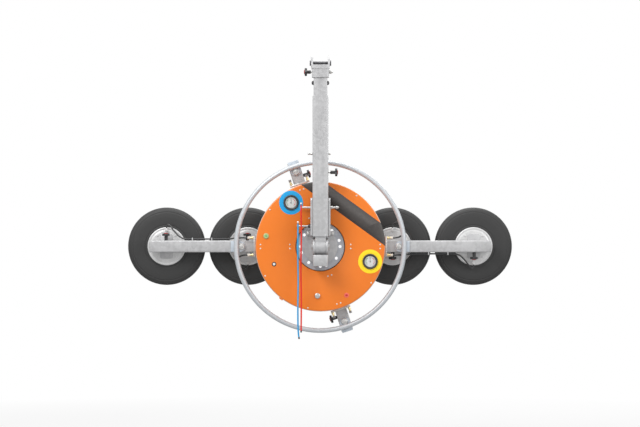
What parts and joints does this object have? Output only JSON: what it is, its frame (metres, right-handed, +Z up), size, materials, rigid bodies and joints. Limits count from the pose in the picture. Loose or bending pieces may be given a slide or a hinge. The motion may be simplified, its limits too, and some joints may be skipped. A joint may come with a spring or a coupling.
{
  "type": "vacuum lifter",
  "caption": "Hanging vacuum lifter with four round suction pads in a row, a turning and tilting head, a round orange casing and a ring handle.",
  "frame": {"origin": "middle of the crane pin that the lifter hangs from", "axes": "+X along the row of pads, +Y from the operator's side towards the panel, +Z up"},
  "size_m": [1.982, 0.3999, 1.4354],
  "materials": {
    "steel": "galvanised",
    "bright": "bright zinc tube",
    "zinc": "zinc plated",
    "dark_steel": "black oxide",
    "orange": "powder coat",
    "rubber": "matt moulded",
    "plastic": "satin",
    "brass": "plated",
    "bronze": "turned",
    "green": "satin",
    "red_cord": "braided",
    "blue_cord": "braided"
  },
  "bodies": {
    "head": {"crane_fork": "steel", "crane_pin": "dark_steel", "insert_tube": "steel"},
    "fork_knob": {"fork_knob": "plastic"},
    "mast": {"mast_tube": "steel", "stop_pin": "zinc"},
    "clamp_knob": {"clamp_knob": "plastic"},
    "yoke": {"yoke_frame": "steel", "tilt_pin": "zinc", "rotation_spindle": "zinc", "lock_bracket": "steel"},
    "tilt_lock_lever": {"tilt_lock_lever": "zinc"},
    "turn_lock_lever": {"turn_lock_lever": "zinc"},
    "tilt_cord": {"tilt_lock_cord": "red_cord"},
    "turn_cord": {"turn_lock_cord": "blue_cord"},
    "plunger": {"index_plunger": "zinc"},
    "chassis": {"spindle_bush": "bronze", "chassis_frame": "steel", "index_plate": "steel", "ring_handle": "bright", "casing_pan": "orange", "base_plate": "steel", "vacuum_pump_left": "dark_steel", "vacuum_pump_right": "dark_steel", "battery": "plastic", "valve_block": "zinc", "manifold_right": "brass", "manifold_top": "brass", "manifold_left": "brass", "manifold_bottom": "brass", "gauge_blue": "plastic", "gauge_yellow": "plastic", "extension_arm_left": "steel", "extension_arm_right": "steel", "outer_hose_left": "plastic", "outer_hose_right": "plastic", "inner_hose_left": "plastic", "inner_hose_right": "plastic", "inner_left_pad_stem": "zinc", "inner_right_pad_stem": "zinc", "outer_left_pad_stem": "zinc", "outer_right_pad_stem": "zinc"},
    "blue_needle": {"needle_blue": "dark_steel"},
    "yellow_needle": {"needle_yellow": "dark_steel"},
    "start_button": {"start_button": "green"},
    "vent_knob": {"vent_knob": "zinc"},
    "inner_left_pad": {"inner_left_pad_plate": "steel", "inner_left_pad_rubber": "rubber"},
    "inner_right_pad": {"inner_right_pad_plate": "steel", "inner_right_pad_rubber": "rubber"},
    "outer_left_pad": {"outer_left_pad_plate": "steel", "outer_left_pad_rubber": "rubber"},
    "outer_right_pad": {"outer_right_pad_plate": "steel", "outer_right_pad_rubber": "rubber"},
    "right_knob": {"right_knob": "plastic"},
    "top_knob": {"top_knob": "plastic"},
    "left_knob": {"left_knob": "plastic"},
    "bottom_knob": {"bottom_knob": "plastic"},
    "outer_left_knob": {"outer_left_knob": "plastic"},
    "outer_right_knob": {"outer_right_knob": "plastic"}
  },
  "joints": [
    {"name": "fork_knob_turn", "type": "hinge", "parent": "head", "child": "fork_knob", "pos_m": [0, 0, -0.0451], "axis": [-1, 0, 0], "continuous": true},
    {"name": "mast_extension", "type": "slide", "parent": "head", "child": "mast", "axis": [0, 0, -1], "range_m": [0, 0.12]},
    {"name": "clamp_knob_turn", "type": "hinge", "parent": "mast", "child": "clamp_knob", "pos_m": [0, 0, -0.553], "axis": [1, 0, 0], "continuous": true},
    {"name": "tilt", "type": "hinge", "parent": "mast", "child": "yoke", "pos_m": [0, 0, -0.93], "axis": [-1, 0, 0], "range_deg": [0, 90]},
    {"name": "tilt_lock", "type": "hinge", "parent": "yoke", "child": "tilt_lock_lever", "pos_m": [0, 0.061, -0.731], "axis": [1, 0, 0], "range_deg": [0, 25], "stiffness_Nm_per_rad": 1.5, "springref_deg": -11.46},
    {"name": "turn_lock", "type": "hinge", "parent": "yoke", "child": "turn_lock_lever", "pos_m": [0, 0.061, -0.826], "axis": [1, 0, 0], "range_deg": [0, 35], "stiffness_Nm_per_rad": 1.5, "springref_deg": -11.46},
    {"name": "tilt_cord_pull", "type": "slide", "parent": "yoke", "child": "tilt_cord", "axis": [0, 0, -1], "range_m": [0, 0.02668]},
    {"name": "turn_cord_pull", "type": "slide", "parent": "yoke", "child": "turn_cord", "axis": [0, 0, -1], "range_m": [0, 0.03715]},
    {"name": "plunger_draw", "type": "slide", "parent": "yoke", "child": "plunger", "axis": [0, -1, 0], "range_m": [0, 0.0082]},
    {"name": "rotation", "type": "hinge", "parent": "yoke", "child": "chassis", "pos_m": [0, 0.085, -0.93], "axis": [0, 1, 0], "continuous": true},
    {"name": "blue_needle_turn", "type": "hinge", "parent": "chassis", "child": "blue_needle", "pos_m": [-0.149, 0.085, -0.706], "axis": [0, 1, 0], "range_deg": [-120, 120]},
    {"name": "yellow_needle_turn", "type": "hinge", "parent": "chassis", "child": "yellow_needle", "pos_m": [0.254, 0.085, -1.006], "axis": [0, 1, 0], "range_deg": [-120, 120]},
    {"name": "start_press", "type": "slide", "parent": "chassis", "child": "start_button", "axis": [0, 1, 0], "range_m": [0, 0.004], "stiffness_N_per_m": 1500, "springref_m": -0.001},
    {"name": "vent_turn", "type": "hinge", "parent": "chassis", "child": "vent_knob", "pos_m": [-0.0145, 0.085, -1.181], "axis": [0, 1, 0], "range_deg": [0, 90]},
    {"name": "inner_left_pad_tilt", "type": "hinge", "parent": "chassis", "child": "inner_left_pad", "pos_m": [-0.373, 0.2556, -0.93], "axis": [0, 0, 1], "range_deg": [-4, 4], "stiffness_Nm_per_rad": 160},
    {"name": "inner_right_pad_tilt", "type": "hinge", "parent": "chassis", "child": "inner_right_pad", "pos_m": [0.373, 0.2556, -0.93], "axis": [0, 0, 1], "range_deg": [-4, 4], "stiffness_Nm_per_rad": 160},
    {"name": "outer_left_pad_tilt", "type": "hinge", "parent": "chassis", "child": "outer_left_pad", "pos_m": [-0.791, 0.2556, -0.93], "axis": [0, 0, 1], "range_deg": [-4, 4], "stiffness_Nm_per_rad": 160},
    {"name": "outer_right_pad_tilt", "type": "hinge", "parent": "chassis", "child": "outer_right_pad", "pos_m": [0.791, 0.2556, -0.93], "axis": [0, 0, 1], "range_deg": [-4, 4], "stiffness_Nm_per_rad": 160},
    {"name": "right_knob_turn", "type": "hinge", "parent": "chassis", "child": "right_knob", "pos_m": [0.373, 0.2076, -0.93], "axis": [0, 0, -1], "continuous": true},
    {"name": "top_knob_turn", "type": "hinge", "parent": "chassis", "child": "top_knob", "pos_m": [-0.11526, 0.2076, -0.57526], "axis": [0.9511, 0, 0.309], "continuous": true},
    {"name": "left_knob_turn", "type": "hinge", "parent": "chassis", "child": "left_knob", "pos_m": [-0.373, 0.2076, -0.93], "axis": [0, 0, 1], "continuous": true},
    {"name": "bottom_knob_turn", "type": "hinge", "parent": "chassis", "child": "bottom_knob", "pos_m": [0.11526, 0.2076, -1.28474], "axis": [-0.9511, 0, -0.309], "continuous": true},
    {"name": "outer_left_knob_turn", "type": "hinge", "parent": "chassis", "child": "outer_left_knob", "pos_m": [-0.791, 0.2076, -0.93], "axis": [0, 0, 1], "continuous": true},
    {"name": "outer_right_knob_turn", "type": "hinge", "parent": "chassis", "child": "outer_right_knob", "pos_m": [0.791, 0.2076, -0.93], "axis": [0, 0, -1], "continuous": true}
  ],
  "couplings": [
    {"joint": "tilt_cord_pull", "follows": "tilt_lock", "m_per_rad": 0.06},
    {"joint": "turn_cord_pull", "follows": "turn_lock", "m_per_rad": 0.06},
    {"joint": "plunger_draw", "follows": "turn_lock", "m_per_rad": 0.013096}
  ]
}
